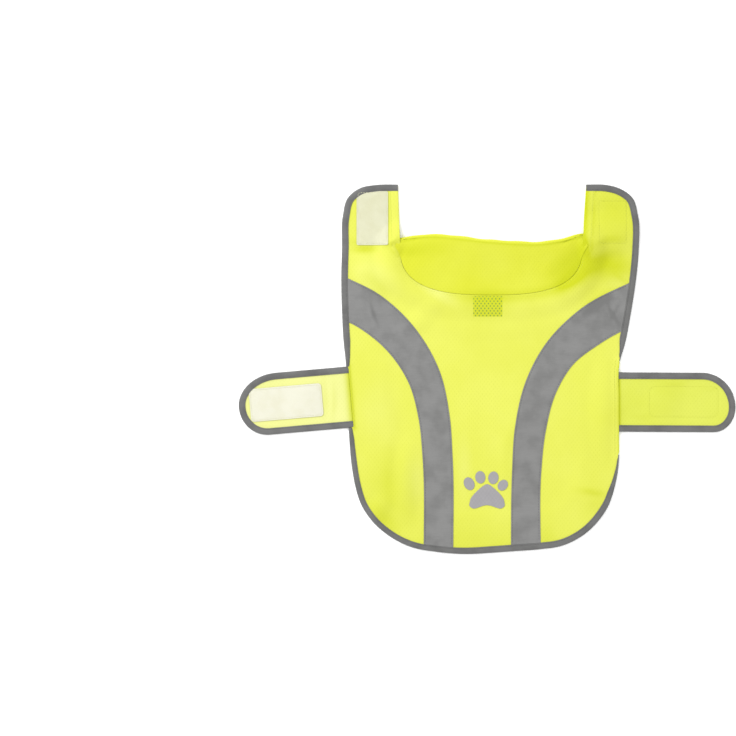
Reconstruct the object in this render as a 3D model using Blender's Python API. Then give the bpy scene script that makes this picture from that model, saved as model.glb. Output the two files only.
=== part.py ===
"""A dog's safety vest of fluorescent air mesh, laid out flat with its outer side up.

The head end is at +Y, the dog's left side is at -X, and the vest lies on the plane z = 0 with its
origin at the middle of its outline. Back and chest flaps are one cut of mesh. Grey reflective tape
is folded over the raw edges, two curved stripes and a paw are laid on the back, and hook and loop
tape is sewn to the dog's left flap and strap (outer side) and right flap and strap (underside).

Sizes are in millimetres; MM turns them into Blender's metres when a mesh is made.
Every piece is cut out of the cloth's own facets, moved up or down, so neighbouring layers follow
the same folds and never cross.
"""

import math
from collections import namedtuple

import bmesh
import bpy
import numpy as np

MM = 0.001
GRID = 12.0
SEAM_GAP = 0.3

CLOTH = 1.6
TAPE = 0.6
HOOK_TAPE = 1.0
COLLAR_WALL = 3.0

BINDING_WIDTH = 8.0
BINDING_ROOM = 12.0
POINT_SPACING = 11.0
OUTLINE_HEIGHT = 40.0

EDGE_LIFT = TAPE + SEAM_GAP
EDGE_BAND = 40.0
EDGE_RAMP = 18.0
CLOTH_INSET = TAPE + SEAM_GAP

Section = namedtuple("Section", "y left right")
BODY_SECTIONS = (
    Section(220.7, -134.0, 144.0),
    Section(217.2, -151.8, 157.6),
    Section(205.2, -167.1, 174.6),
    Section(183.6, -173.0, 181.2),
    Section(145.2, -174.0, 182.1),
    Section(106.8, -174.9, 178.7),
    Section(68.4, -174.0, 172.8),
    Section(30.0, -171.8, 165.4),
    Section(8.4, -169.4, 159.2),
    Section(-37.2, -167.4, 158.2),
    Section(-80.4, -165.4, 158.2),
    Section(-118.8, -162.0, 157.4),
    Section(-142.8, -157.5, 152.8),
    Section(-162.0, -151.3, 146.5),
    Section(-181.2, -138.8, 134.5),
    Section(-200.4, -117.2, 114.0),
    Section(-212.4, -94.2, 89.0),
    Section(-216.4, -80.6, 62.0),
    Section(-218.8, -65.0, 30.0),
    Section(-220.6, -50.0, 4.0),
    Section(-221.8, -34.0, -15.0),
)

FLAP_TOP = 221.4
LEFT_FLAP_INNER = -106.8
RIGHT_FLAP_INNER = 118.8

NECK_CENTRE = 4.8
NECK_HALF_WIDTH = 109.0
NECK_END = 147.0
NECK_DEPTH = 58.2
NECK_POWER = 2.75
NECK_STEPS = 28

LEFT_BINDING_STOPS = (4.6, -72.0)
RIGHT_BINDING_STOPS = (9.6, -103.0)
BOUND_STRETCHES = (0, 2, 4)
UNBOUND_STRETCHES = (1, 3)

Strap = namedtuple("Strap", "seam_x seam_y half_width length turn low_depth high_depth tip_y")
TIP_STEPS = 14
LEFT_STRAP = Strap(-163.4, -33.5, 36.8, 135.0, 185.0, 48.0, 34.0, 1.0)
RIGHT_STRAP = Strap(157.6, -39.6, 35.7, 140.4, -0.3, 26.0, 40.0, -6.0)

StripeRow = namedtuple("StripeRow", "x y width")
LEFT_STRIPE = (
    StripeRow(-184.0, 90.4, 48.0),
    StripeRow(-140.4, 68.6, 46.8),
    StripeRow(-101.8, 33.8, 43.0),
    StripeRow(-75.4, -9.8, 39.8),
    StripeRow(-63.6, -57.2, 37.4),
    StripeRow(-59.3, -106.8, 36.0),
    StripeRow(-58.2, -226.0, 35.4),
)
RIGHT_STRIPE = (
    StripeRow(190.0, 86.0, 48.4),
    StripeRow(125.4, 52.2, 47.8),
    StripeRow(86.8, 17.8, 41.4),
    StripeRow(65.2, -20.2, 39.0),
    StripeRow(51.9, -72.6, 37.2),
    StripeRow(47.5, -123.6, 35.0),
    StripeRow(46.4, -226.0, 35.8),
)

PAD_TOP = -138.2
PAD_CENTRE = -157.0
PAD_HALF_WIDTH = 22.3
PAD_LOBE_DEPTH = 13.4
PAD_DIP = 7.0
PAD_DIP_SHARE = 0.82
PAD_NARROWING = 0.39
PAD_STEPS = 28

Toe = namedtuple("Toe", "x y half_width half_height turn")
TOES = (
    Toe(-21.5, -137.6, 6.2, 8.0, 25.0),
    Toe(-8.1, -129.9, 6.1, 7.5, 6.0),
    Toe(7.6, -130.5, 6.2, 7.6, -8.0),
    Toe(18.9, -139.4, 5.7, 7.0, -38.0),
)
TOE_STEPS = 12

Patch = namedtuple("Patch", "x y half_length half_width turn corner")
LEFT_FLAP_HOOK = Patch(-137.6, 180.9, 18.9, 32.4, 0.0, 2.0)
LEFT_STRAP_HOOK = Patch(-241.0, -40.3, 43.6, 19.8, 4.9, 4.0)
RIGHT_FLAP_LOOP = Patch(150.6, 176.0, 18.0, 27.0, 0.0, 2.0)
RIGHT_STRAP_LOOP = Patch(236.0, -39.4, 43.0, 20.0, -0.3, 8.0)
NECK_LABEL = Patch(0.9, 75.0, 18.5, 13.2, 0.0, 1.0)
CORNER_STEPS = 4

RIM_CREST = 10.0
RIM_REACH = 24.0
RIM_RISE_MIDDLE = 2.6
RIM_RISE_SIDES = 6.0

Fold = namedtuple("Fold", "x y half_length half_width turn rise")
FOLDS = (
    Fold(140.0, 160.0, 64.0, 34.0, 8.0, 6.5),
    Fold(-134.0, 122.0, 56.0, 27.0, -48.0, 3.2),
    Fold(141.0, -45.0, 74.0, 24.0, 90.0, 4.2),
    Fold(-95.0, -132.0, 62.0, 23.0, 86.0, 2.4),
    Fold(-133.0, -172.0, 38.0, 17.0, 52.0, 1.9),
    Fold(124.0, -152.0, 44.0, 18.0, -42.0, 1.9),
    Fold(-84.0, 56.0, 50.0, 18.0, 44.0, 1.7),
    Fold(96.0, 60.0, 46.0, 18.0, -38.0, 1.8),
    Fold(-222.0, -38.0, 40.0, 25.0, 86.0, 1.2),
    Fold(212.0, -40.0, 42.0, 28.0, 84.0, 1.6),
)

CollarEdge = namedtuple("CollarEdge", "x y crest")
COLLAR_TOP = (
    CollarEdge(-104.1, 157.2, 6.5),
    CollarEdge(-71.0, 161.8, 10.5),
    CollarEdge(-41.0, 160.0, 13.0),
    CollarEdge(-5.0, 156.0, 14.0),
    CollarEdge(32.0, 153.2, 13.5),
    CollarEdge(57.0, 152.4, 12.5),
    CollarEdge(93.0, 157.4, 9.5),
    CollarEdge(113.6, 162.6, 7.5),
)

RollPoint = namedtuple("RollPoint", "along height")
COLLAR_SLOPE = ((0.25, 0.10), (0.5, 0.34), (0.75, 0.70), (0.9, 0.93))
COLLAR_ROLL = (
    RollPoint(-4.0, 1.0),
    RollPoint(-0.8, 0.9),
    RollPoint(0.0, 0.74),
    RollPoint(-0.9, 0.58),
    RollPoint(-3.4, 0.5),
    RollPoint(-1.6, 0.4),
    RollPoint(-1.4, 0.14),
    RollPoint(-2.8, 0.0),
)

Finish = namedtuple("Finish", "name colour roughness")
MESH_FABRIC = Finish("fluorescent_mesh", (0.85, 0.90, 0.12), 0.8)
REFLECTIVE = Finish("reflective_grey", (0.28, 0.28, 0.275), 0.45)
REFLECTIVE_BINDING = Finish("reflective_binding", (0.2, 0.2, 0.2), 0.5)
HOOK_CREAM = Finish("hook_tape_cream", (0.86, 0.85, 0.66), 0.7)
LOOP_YELLOW = Finish("loop_tape_yellow", (0.78, 0.84, 0.16), 0.95)
LABEL_WEAVE = Finish("label_weave", (0.75, 0.77, 0.6), 0.7)


def resample(points, spacing):
    """The same polyline with its points evenly spaced, about `spacing` apart."""
    runs = np.linalg.norm(np.diff(points[:, :2], axis=0), axis=1)
    at = np.concatenate([[0.0], np.cumsum(runs)])
    count = max(2, round(at[-1] / spacing) + 1)
    places = np.linspace(0.0, at[-1], count)
    return np.column_stack([np.interp(places, at, column) for column in points.T])


def smooth_curve(rows, spacing):
    """Points `spacing` apart on a cubic curve through the rows; further columns follow along."""
    rows = np.array(rows, float)
    spans = np.linalg.norm(np.diff(rows[:, :2], axis=0), axis=1)
    at = np.concatenate([[0.0], np.cumsum(spans)])
    slopes = np.gradient(rows, at, axis=0)
    places = np.linspace(0.0, at[-1], int(at[-1]) + 2)
    left = np.clip(np.searchsorted(at, places, side="right") - 1, 0, len(spans) - 1)
    span = spans[left][:, None]
    t = (places - at[left])[:, None] / span
    dense = (1 + 2 * t) * (1 - t) ** 2 * rows[left]
    dense += t * t * (3 - 2 * t) * rows[left + 1]
    dense += t * (1 - t) ** 2 * span * slopes[left]
    dense += t * t * (t - 1) * span * slopes[left + 1]
    return resample(dense, spacing)


def left_normals(points):
    """Unit normals on the left of a polyline, lengthened at each corner as a mitre."""
    steps = np.diff(points, axis=0)
    steps /= np.linalg.norm(steps, axis=1)[:, None]
    before = np.vstack([steps[:1], steps])
    after = np.vstack([steps, steps[-1:]])
    middle = before + after
    middle /= np.linalg.norm(middle, axis=1)[:, None]
    mitre = np.sum(middle * after, axis=1)[:, None]
    return np.column_stack([-middle[:, 1], middle[:, 0]]) / mitre


def inset(points, distance):
    """The polyline moved to its left; `distance` is one number or one for each point."""
    return points + left_normals(points) * np.reshape(distance, (-1, 1))


def turned(points, angle, x, y):
    """Flat points turned by `angle` degrees and moved to (x, y)."""
    cosine, sine = math.cos(math.radians(angle)), math.sin(math.radians(angle))
    return points @ np.array(((cosine, sine), (-sine, cosine))) + (x, y)


def body_edge():
    """Stretches of the body's outer edge from the left flap's inner corner round to the right's.

    They are cut where the tape folded over the edge stops at the straps: left side with its flap,
    left strap seam, hem, rolled edge over the right strap seam, right side with its flap.
    """
    rows = [(LEFT_FLAP_INNER, FLAP_TOP)]
    rows += [(section.left, section.y) for section in BODY_SECTIONS]
    rows += [(section.right, section.y) for section in reversed(BODY_SECTIONS)]
    rows += [(RIGHT_FLAP_INNER, FLAP_TOP)]
    edge = smooth_curve(rows, 1.0)
    lowest = int(edge[:, 1].argmin())
    cuts = [int(np.argmax(edge[:, 1] < stop)) for stop in LEFT_BINDING_STOPS]
    cuts += [lowest + int(np.argmax(edge[lowest:, 1] > stop)) for stop in reversed(RIGHT_BINDING_STOPS)]
    ends = [0] + cuts + [len(edge) - 1]
    return [resample(edge[start:stop + 1], POINT_SPACING) for start, stop in zip(ends, ends[1:])]


def neck_edge():
    """The cut neck edge, from its right end down round the back of the neck to its left end."""
    angles = np.linspace(0.0, math.pi, NECK_STEPS + 1)
    across = np.sign(np.cos(angles)) * np.abs(np.cos(angles)) ** (2 / NECK_POWER)
    down = np.abs(np.sin(angles)) ** (2 / NECK_POWER)
    return np.column_stack([NECK_CENTRE + NECK_HALF_WIDTH * across, NECK_END - NECK_DEPTH * down])


def strap_edge(strap, grow=0.0):
    """A strap's outline from one root corner round its tip to the other, its inside on the left."""
    half = strap.half_width + grow
    angles = np.linspace(-math.pi / 2, math.pi / 2, TIP_STEPS + 1)
    depth = np.where(angles < 0, strap.low_depth, strap.high_depth) + grow
    rise = half - np.sign(angles) * strap.tip_y
    end = np.column_stack([strap.length + grow - depth * (1 - np.cos(angles)),
                           strap.tip_y + rise * np.sin(angles)])
    points = np.vstack([[(-grow, -half)], end, [(-grow, half)]])
    return turned(points, strap.turn, strap.seam_x, strap.seam_y)


def stripe_outline(rows):
    """The outline of a stripe of changing width laid along its rows."""
    points = smooth_curve(rows, POINT_SPACING * 1.4)
    middle, half = points[:, :2], points[:, 2] / 2
    return np.vstack([inset(middle, -half), inset(middle, half)[::-1]])


def patch_outline(patch):
    """A rectangle with rounded corners, in the turn in which its inside lies on the left."""
    corners = []
    for quarter, (side_x, side_y) in enumerate(((1, 1), (-1, 1), (-1, -1), (1, -1))):
        centre = np.array((side_x * (patch.half_length - patch.corner),
                           side_y * (patch.half_width - patch.corner)))
        angles = (np.linspace(0.0, 1.0, CORNER_STEPS + 1) + quarter) * math.pi / 2
        corners.append(centre + patch.corner * np.column_stack([np.cos(angles), np.sin(angles)]))
    return turned(np.vstack(corners), patch.turn, patch.x, patch.y)


def toe_outline(toe):
    """An oval toe of the paw."""
    angles = np.linspace(0.0, 2 * math.pi, TOE_STEPS, endpoint=False)
    oval = np.column_stack([toe.half_width * np.cos(angles), toe.half_height * np.sin(angles)])
    return turned(oval, toe.turn, toe.x, toe.y)


def pad_outline():
    """The paw's pad: narrow at the top, with a dip between its two lower lobes."""
    angles = np.linspace(0.0, 2 * math.pi, PAD_STEPS, endpoint=False)
    above, below = np.clip(np.sin(angles), 0.0, 1.0), np.clip(-np.sin(angles), 0.0, 1.0)
    narrow = 1.0 - PAD_NARROWING * np.clip(np.sin(angles) + 0.35, 0.0, None) ** 1.4
    x = PAD_HALF_WIDTH * np.cos(angles) * narrow
    dip = PAD_DIP * below * np.clip(1 - (x / (PAD_HALF_WIDTH * PAD_DIP_SHARE)) ** 2, 0.0, 1.0) ** 1.5
    y = PAD_CENTRE + (PAD_TOP - PAD_CENTRE) * above - PAD_LOBE_DEPTH * below ** 0.56 + dip
    return np.column_stack([x, y])


BODY_STRETCHES = body_edge()
BODY_EDGE = np.vstack([stretch[:-1] for stretch in BODY_STRETCHES] + [BODY_STRETCHES[-1][-1:]])
NECK_EDGE = neck_edge()
RIGHT_INNER_EDGE = np.array(((RIGHT_FLAP_INNER, FLAP_TOP), tuple(NECK_EDGE[0])))
LEFT_INNER_EDGE = np.array((tuple(NECK_EDGE[-1]), (LEFT_FLAP_INNER, FLAP_TOP)))
CUT_EDGES = (BODY_EDGE, RIGHT_INNER_EDGE, NECK_EDGE, LEFT_INNER_EDGE,
             strap_edge(LEFT_STRAP), strap_edge(RIGHT_STRAP))


def distance_to(edges, x, y):
    """How far each point lies from the nearest of the polylines."""
    nearest = np.full(np.shape(x), np.inf)
    for edge in edges:
        for start, stop in zip(edge, edge[1:]):
            run = stop - start
            along = ((x - start[0]) * run[0] + (y - start[1]) * run[1]) / (run @ run)
            along = np.clip(along, 0.0, 1.0)
            away = np.hypot(x - start[0] - along * run[0], y - start[1] - along * run[1])
            nearest = np.minimum(nearest, away)
    return nearest


def underside(x, y):
    """Height of the cloth's underside: flat on the surface, lifted at its edges and in its folds."""
    ramp = np.clip((distance_to(CUT_EDGES, x, y) - EDGE_BAND) / EDGE_RAMP, 0.0, 1.0)
    height = EDGE_LIFT * (1 - ramp * ramp * (3 - 2 * ramp))
    sides = np.clip(np.abs(x - NECK_CENTRE) / NECK_HALF_WIDTH, 0.0, 1.0)
    rise = RIM_RISE_MIDDLE + (RIM_RISE_SIDES - RIM_RISE_MIDDLE) * sides ** 2
    across = (distance_to((NECK_EDGE,), x, y) - RIM_CREST) / RIM_REACH
    height += rise * np.clip(1 - across ** 2, 0.0, 1.0) ** 2
    for fold in FOLDS:
        cosine, sine = math.cos(math.radians(fold.turn)), math.sin(math.radians(fold.turn))
        along = ((x - fold.x) * cosine + (y - fold.y) * sine) / fold.half_length
        across = ((y - fold.y) * cosine - (x - fold.x) * sine) / fold.half_width
        height += fold.rise * np.clip(1 - along ** 2 - across ** 2, 0.0, 1.0) ** 2
    return height


def link(name, bm):
    """An object in the scene from a mesh in millimetres, with its faces pointing out."""
    bmesh.ops.recalc_face_normals(bm, faces=bm.faces[:])
    bmesh.ops.scale(bm, vec=(MM, MM, MM), verts=bm.verts[:])
    mesh = bpy.data.meshes.new(name)
    bm.to_mesh(mesh)
    bm.free()
    piece = bpy.data.objects.new(name, mesh)
    bpy.context.collection.objects.link(piece)
    return piece


def cloth_block(outline, low, high):
    """A slab of the cloth's facets around the outline, `low` to `high` above the underside."""
    first = np.floor(outline.min(axis=0) / GRID).astype(int) - 1
    last = np.ceil(outline.max(axis=0) / GRID).astype(int) + 1
    across, along = (np.arange(start, stop + 1) * GRID for start, stop in zip(first, last))
    x, y = np.meshgrid(across, along)
    base = underside(x, y)
    bm = bmesh.new()
    for level, outward in ((low, -1), (high, 1)):
        verts = [[bm.verts.new(place) for place in zip(*row)] for row in zip(x, y, base + level)]
        for lower, upper in zip(verts, verts[1:]):
            for a, b, c, d in zip(lower, lower[1:], upper[1:], upper):
                bm.faces.new((a, b, c)[::outward])
                bm.faces.new((a, c, d)[::outward])
    bmesh.ops.bridge_loops(bm, edges=[edge for edge in bm.edges if edge.is_boundary])
    return bm


def cookie_cutter(outline):
    """An upright prism on the outline, taller than the vest."""
    bm = bmesh.new()
    floor = [bm.verts.new((x, y, -OUTLINE_HEIGHT)) for x, y in outline]
    roof = [bm.verts.new((x, y, OUTLINE_HEIGHT)) for x, y in outline]
    bm.faces.new(floor[::-1])
    bm.faces.new(roof)
    for index in range(len(outline)):
        after = (index + 1) % len(outline)
        bm.faces.new((floor[index], floor[after], roof[after], roof[index]))
    return link("cutter", bm)


def carve(piece, cutter, operation):
    """Cuts the piece's mesh by the cutter, which is used up."""
    cut = piece.modifiers.new("cut", "BOOLEAN")
    cut.operation = operation
    cut.object = cutter
    cut.solver = "EXACT"
    graph = bpy.context.evaluated_depsgraph_get()
    result = bpy.data.meshes.new_from_object(piece.evaluated_get(graph))
    result.name = piece.name
    piece.modifiers.clear()
    piece.data = result
    bpy.data.objects.remove(cutter)


def cut_piece(name, outline, low, high):
    """A piece cut to its outline out of the cloth's layer between the two levels."""
    piece = link(name, cloth_block(outline, low, high))
    carve(piece, cookie_cutter(outline), "INTERSECT")
    return piece


def folded_tape(name, edge):
    """Tape folded over an edge: a leaf above the cloth, a leaf below, and the fold between."""
    tape = cut_piece(name, np.vstack([edge, inset(edge, BINDING_WIDTH)[::-1]]),
                     -EDGE_LIFT, CLOTH + EDGE_LIFT)
    longer = edge.copy()
    longer[0] += (edge[0] - edge[1]) / np.linalg.norm(edge[0] - edge[1]) * BINDING_WIDTH
    longer[-1] += (edge[-1] - edge[-2]) / np.linalg.norm(edge[-1] - edge[-2]) * BINDING_WIDTH
    room = cut_piece("room", np.vstack([inset(longer, TAPE), inset(longer, BINDING_ROOM)[::-1]]),
                     -SEAM_GAP, CLOTH + SEAM_GAP)
    carve(tape, room, "DIFFERENCE")
    return tape


def finish_piece(piece, finish):
    """Merges the facets that lie in one plane, shades the piece and gives it its material."""
    bm = bmesh.new()
    bm.from_mesh(piece.data)
    bmesh.ops.dissolve_limit(bm, angle_limit=math.radians(0.01), verts=bm.verts[:], edges=bm.edges[:])
    bmesh.ops.triangulate(bm, faces=bm.faces[:])
    bm.to_mesh(piece.data)
    bm.free()
    piece.data.shade_smooth()
    piece.data.set_sharp_from_angle(angle=math.radians(35))
    piece.data.materials.clear()
    piece.data.materials.append(material(finish))


def material(finish):
    """The finish's material, made once."""
    found = bpy.data.materials.get(finish.name)
    if found:
        return found
    made = bpy.data.materials.new(finish.name)
    made.use_nodes = True
    shader = made.node_tree.nodes["Principled BSDF"]
    shader.inputs["Base Color"].default_value = (*finish.colour, 1.0)
    shader.inputs["Roughness"].default_value = finish.roughness
    shader.inputs["Metallic"].default_value = 0.0
    return made


def make_back_panel():
    """Back and both flaps in one, cut away where the straps are sewn on."""
    depths = np.full(len(BODY_EDGE), CLOTH_INSET)
    starts = np.cumsum([0] + [len(stretch) - 1 for stretch in BODY_STRETCHES])
    for unbound in UNBOUND_STRETCHES:
        depths[starts[unbound] + 1:starts[unbound + 1]] = 0.0
    outline = np.vstack([inset(BODY_EDGE, depths), NECK_EDGE])
    panel = cut_piece("back_panel", outline, 0.0, CLOTH)
    for strap in (LEFT_STRAP, RIGHT_STRAP):
        carve(panel, cookie_cutter(strap_edge(strap, SEAM_GAP)), "DIFFERENCE")
    finish_piece(panel, MESH_FABRIC)


def make_straps():
    """Both belly straps."""
    for name, strap in (("left_strap", LEFT_STRAP), ("right_strap", RIGHT_STRAP)):
        finish_piece(cut_piece(name, inset(strap_edge(strap), CLOTH_INSET), 0.0, CLOTH), MESH_FABRIC)


def make_bindings():
    """The tape folded over the body's bound stretches and over both straps."""
    names = ("left_side_binding", "hem_binding", "right_side_binding")
    for name, stretch in zip(names, BOUND_STRETCHES):
        finish_piece(folded_tape(name, BODY_STRETCHES[stretch]), REFLECTIVE_BINDING)
    for name, strap in (("left_strap_binding", LEFT_STRAP), ("right_strap_binding", RIGHT_STRAP)):
        finish_piece(folded_tape(name, strap_edge(strap)), REFLECTIVE_BINDING)


ON_BODY = np.vstack([inset(BODY_EDGE, BINDING_WIDTH + SEAM_GAP), NECK_EDGE])


def make_laid_on(name, outline, low, high, finish, within=ON_BODY):
    """A piece sewn on the cloth, above or beneath it, kept clear of the binding round it."""
    piece = cut_piece(name, outline, low, high)
    carve(piece, cookie_cutter(within), "INTERSECT")
    finish_piece(piece, finish)


def make_reflectors():
    """Two stripes and the paw."""
    low, high = CLOTH + SEAM_GAP, CLOTH + SEAM_GAP + TAPE
    make_laid_on("left_stripe", stripe_outline(LEFT_STRIPE), low, high, REFLECTIVE)
    make_laid_on("right_stripe", stripe_outline(RIGHT_STRIPE), low, high, REFLECTIVE)
    make_laid_on("paw_pad", pad_outline(), low, high, REFLECTIVE)
    for number, toe in enumerate(TOES, start=1):
        make_laid_on(f"paw_toe_{number}", toe_outline(toe), low, high, REFLECTIVE)


def make_tapes():
    """Hook tape on top at the left, loop tape beneath at the right, and the neck label beneath."""
    on_left, on_right = (inset(strap_edge(strap), BINDING_WIDTH + SEAM_GAP)
                         for strap in (LEFT_STRAP, RIGHT_STRAP))
    low, high = CLOTH + SEAM_GAP, CLOTH + SEAM_GAP + HOOK_TAPE
    make_laid_on("left_flap_hook", patch_outline(LEFT_FLAP_HOOK), low, high, HOOK_CREAM)
    make_laid_on("left_strap_hook", patch_outline(LEFT_STRAP_HOOK), low, high, HOOK_CREAM, on_left)
    low, high = -EDGE_LIFT, -SEAM_GAP
    make_laid_on("right_flap_loop", patch_outline(RIGHT_FLAP_LOOP), low, high, LOOP_YELLOW)
    make_laid_on("right_strap_loop", patch_outline(RIGHT_STRAP_LOOP), low, high, LOOP_YELLOW, on_right)
    make_laid_on("neck_label", patch_outline(NECK_LABEL), low, high, LABEL_WEAVE)


def make_collar():
    """The stand collar lying towards the head: a slope up from the neck seam to its rolled top edge.

    Its ends are tucked under it, so the layers below the slope are one solid that shows as a
    second fold along the head side.
    """
    seam = inset(NECK_EDGE, -SEAM_GAP)
    bottoms = underside(seam[:, 0], seam[:, 1])
    top = smooth_curve(COLLAR_TOP, 2.0)[::-1]
    shares = np.linspace(0.0, len(top) - 1, len(seam))
    crests = np.column_stack([np.interp(shares, np.arange(len(top)), column) for column in top.T])
    bm = bmesh.new()
    rings = []
    for (x, y), bottom, (edge_x, edge_y, crest) in zip(seam, bottoms, crests):
        run = np.array((edge_x - x, edge_y - y))
        reach = float(np.linalg.norm(run))
        run /= reach
        profile = [(0.0, bottom), (0.0, bottom + COLLAR_WALL)]
        start = bottom + COLLAR_WALL
        profile += [(share * reach, start + (crest - start) * rise) for share, rise in COLLAR_SLOPE]
        roll = min(1.0, reach / 12.0)
        profile += [(reach + point.along * roll, crest * point.height) for point in COLLAR_ROLL]
        profile += [(0.5 * reach, 0.0)]
        rings.append([bm.verts.new((x + run[0] * along, y + run[1] * along, height))
                      for along, height in profile])
    for ring, after in zip(rings, rings[1:]):
        for index in range(len(ring)):
            beyond = (index + 1) % len(ring)
            bm.faces.new((ring[index], ring[beyond], after[beyond], after[index]))
    bm.faces.new(rings[0][::-1])
    bm.faces.new(rings[-1])
    finish_piece(link("collar", bm), MESH_FABRIC)


def main():
    for old in list(bpy.data.objects):
        bpy.data.objects.remove(old)
    make_back_panel()
    make_straps()
    make_collar()
    make_bindings()
    make_reflectors()
    make_tapes()


main()
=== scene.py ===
"""Looks of a dog's safety vest laid out flat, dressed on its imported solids.

The head end is at +Y, the dog's left side is at -X, and the outer side is up. Lengths are in
millimetres; MM turns them into metres when a mesh is made. Every layer lies at its own level
above one height function, so the layers share their folds and never cross.
"""

import math
from collections import namedtuple

import bmesh
import bpy
import numpy as np
from mathutils import Matrix, Vector


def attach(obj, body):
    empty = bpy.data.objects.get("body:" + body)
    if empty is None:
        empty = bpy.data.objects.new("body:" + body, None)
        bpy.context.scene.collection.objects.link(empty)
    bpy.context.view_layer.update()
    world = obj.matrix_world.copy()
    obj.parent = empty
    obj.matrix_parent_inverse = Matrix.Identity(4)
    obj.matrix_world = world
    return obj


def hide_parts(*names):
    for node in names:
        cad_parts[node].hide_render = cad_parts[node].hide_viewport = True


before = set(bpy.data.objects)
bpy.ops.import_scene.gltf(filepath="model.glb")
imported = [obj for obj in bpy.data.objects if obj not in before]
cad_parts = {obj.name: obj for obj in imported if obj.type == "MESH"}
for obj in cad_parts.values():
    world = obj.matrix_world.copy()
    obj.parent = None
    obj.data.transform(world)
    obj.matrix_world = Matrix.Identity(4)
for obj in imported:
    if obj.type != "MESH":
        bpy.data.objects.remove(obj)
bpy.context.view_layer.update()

MM = 0.001

CLOTH = 1.6
TAPE = 0.6
HOOK_TAPE = 1.0
LAYER_GAP = 0.05

BINDING_WIDTH = 8.0
POINT_SPACING = 3.0

EDGE_LIFT = 0.9
EDGE_BAND = 40.0
EDGE_RAMP = 18.0
CLOTH_INSET = 0.9

Section = namedtuple("Section", "y left right")
BODY_SECTIONS = (
    Section(220.7, -134, 144),
    Section(217.2, -151.8, 157.6),
    Section(205.2, -167.1, 174.6),
    Section(183.6, -173, 181.2),
    Section(145.2, -174, 182.1),
    Section(106.8, -174.9, 178.7),
    Section(68.4, -174, 172.8),
    Section(30, -171.8, 165.4),
    Section(8.4, -169.4, 159.2),
    Section(-37.2, -167.4, 158.2),
    Section(-80.4, -165.4, 158.2),
    Section(-118.8, -162, 157.4),
    Section(-142.8, -157.5, 152.8),
    Section(-162, -151.3, 146.5),
    Section(-181.2, -138.8, 134.5),
    Section(-200.4, -117.2, 114),
    Section(-212.4, -94.2, 89),
    Section(-216.4, -80.6, 62),
    Section(-218.8, -65, 30),
    Section(-220.6, -50, 4),
    Section(-221.8, -34, -15),
)

FLAP_TOP = 221.4
LEFT_FLAP_INNER = -106.8
RIGHT_FLAP_INNER = 118.8

NECK_CENTRE = 4.8
NECK_HALF_WIDTH = 109.0
NECK_END = 147.0
NECK_DEPTH = 58.2
NECK_POWER = 2.75
NECK_STEPS = 96

LEFT_BINDING_STOPS = (2.6, -70.3)
RIGHT_BINDING_STOPS = (9.6, -103.0)
BOUND_STRETCHES = (0, 2, 4)
UNBOUND_STRETCHES = (1, 3)

Strap = namedtuple("Strap", "seam_x seam_y half_width length turn low_depth high_depth tip_y")
TIP_STEPS = 48
LEFT_STRAP = Strap(-163.4, -33.5, 36.8, 135, 185, 48, 34, 1)
RIGHT_STRAP = Strap(157.6, -39.6, 35.7, 140.4, -0.3, 26, 40, -6)

StripeRow = namedtuple("StripeRow", "x y width")
LEFT_STRIPE = (
    StripeRow(-184, 90.4, 48),
    StripeRow(-140.4, 68.6, 46.8),
    StripeRow(-101.8, 33.8, 43),
    StripeRow(-75.4, -9.8, 39.8),
    StripeRow(-63.6, -57.2, 37.4),
    StripeRow(-59.3, -106.8, 36),
    StripeRow(-58.2, -226, 35.4),
)
RIGHT_STRIPE = (
    StripeRow(190, 86, 48.4),
    StripeRow(125.4, 52.2, 47.8),
    StripeRow(86.8, 17.8, 41.4),
    StripeRow(65.2, -20.2, 39),
    StripeRow(51.9, -72.6, 37.2),
    StripeRow(47.5, -123.6, 35),
    StripeRow(46.4, -226, 35.8),
)

PAD_TOP = -138.2
PAD_CENTRE = -157.0
PAD_HALF_WIDTH = 22.3
PAD_LOBE_DEPTH = 13.4
PAD_DIP = 7.0
PAD_DIP_SHARE = 0.82
PAD_NARROWING = 0.39
PAD_STEPS = 96

Toe = namedtuple("Toe", "x y half_width half_height turn")
TOES = (
    Toe(-21.5, -137.6, 6.2, 8, 25),
    Toe(-8.1, -129.9, 6.1, 7.5, 6),
    Toe(7.6, -130.5, 6.2, 7.6, -8),
    Toe(18.9, -139.4, 5.7, 7, -38),
)
TOE_STEPS = 36

Patch = namedtuple("Patch", "x y half_length half_width turn corner")
LEFT_FLAP_HOOK = Patch(-137.6, 180.9, 18.9, 32.4, 0, 2)
LEFT_STRAP_HOOK = Patch(-241, -40.3, 43.6, 19.8, 4.9, 4)
RIGHT_FLAP_LOOP = Patch(150.6, 176, 18, 27, 0, 2)
RIGHT_STRAP_LOOP = Patch(236, -39.4, 43, 20, -0.3, 8)
NECK_LABEL = Patch(0.9, 75, 18.5, 13.2, 0, 1)
CORNER_STEPS = 8

RIM_CREST = 10.0
RIM_REACH = 24.0
RIM_RISE_MIDDLE = 2.6
RIM_RISE_SIDES = 6.0

Fold = namedtuple("Fold", "x y half_length half_width turn rise")
FOLDS = (
    Fold(140, 160, 64, 34, 8, 6.5),
    Fold(-134, 122, 56, 27, -48, 3.2),
    Fold(141, -45, 74, 24, 90, 4.2),
    Fold(-95, -132, 62, 23, 86, 2.4),
    Fold(-133, -172, 38, 17, 52, 1.9),
    Fold(124, -152, 44, 18, -42, 1.9),
    Fold(-84, 56, 50, 18, 44, 1.7),
    Fold(96, 60, 46, 18, -38, 1.8),
    Fold(-222, -38, 40, 25, 86, 1.2),
    Fold(212, -40, 42, 28, 84, 1.6),
)

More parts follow.
